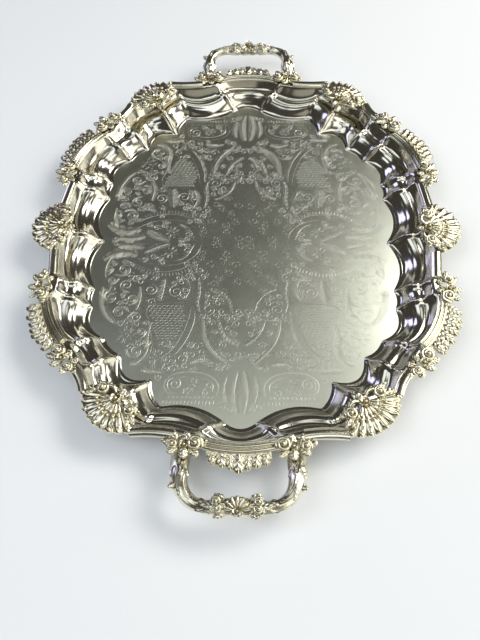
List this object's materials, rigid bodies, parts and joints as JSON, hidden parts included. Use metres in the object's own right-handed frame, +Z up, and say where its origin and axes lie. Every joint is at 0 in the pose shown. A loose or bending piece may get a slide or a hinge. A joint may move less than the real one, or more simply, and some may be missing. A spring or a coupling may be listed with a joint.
{
  "type": "serving salver",
  "caption": "Oval serving salver with a flat engraved centre, a fluted raised side, a shell, scroll and leaf border, and a cast loop handle at each end.",
  "frame": {"origin": "centre of the flat underside that the salver rests on", "axes": "+Z up out of the dish, +Y along the length towards the far handle, +X to the right across the width"},
  "size_m": [0.4652, 0.6096, 0.0356],
  "materials": {
    "body_silver": "polished silver plate with a satin engraved centre",
    "border_silver": "polished cast silver plate, darker in the hollows",
    "handle_silver": "polished cast silver plate, darker in the hollows"
  },
  "bodies": {
    "root": {"tray_body": "body_silver", "shell_1": "border_silver", "shell_2": "border_silver", "shell_3": "border_silver", "shell_4": "border_silver", "shell_5": "border_silver", "shell_6": "border_silver", "scroll_1": "border_silver", "scroll_2": "border_silver", "scroll_3": "border_silver", "scroll_4": "border_silver", "scroll_5": "border_silver", "scroll_6": "border_silver", "scroll_7": "border_silver", "scroll_8": "border_silver", "scroll_9": "border_silver", "scroll_10": "border_silver", "scroll_11": "border_silver", "scroll_12": "border_silver", "hollow_mould_1": "border_silver", "hollow_mould_2": "border_silver", "hollow_mould_3": "border_silver", "hollow_mould_4": "border_silver", "hollow_mould_5": "border_silver", "hollow_mould_6": "border_silver", "hollow_mould_7": "border_silver", "hollow_mould_8": "border_silver", "hollow_mould_9": "border_silver", "hollow_mould_10": "border_silver", "hollow_mould_11": "border_silver", "hollow_mould_12": "border_silver", "lobe_mould_1": "border_silver", "lobe_mould_2": "border_silver", "lobe_mould_3": "border_silver", "lobe_mould_4": "border_silver", "lobe_mould_5": "border_silver", "lobe_mould_6": "border_silver", "leaf_band_1": "border_silver", "leaf_band_2": "border_silver", "leaf_band_3": "border_silver", "leaf_band_4": "border_silver", "leaf_band_5": "border_silver", "leaf_band_6": "border_silver", "handle_far": "handle_silver", "handle_near": "handle_silver"}
  },
  "joints": []
}
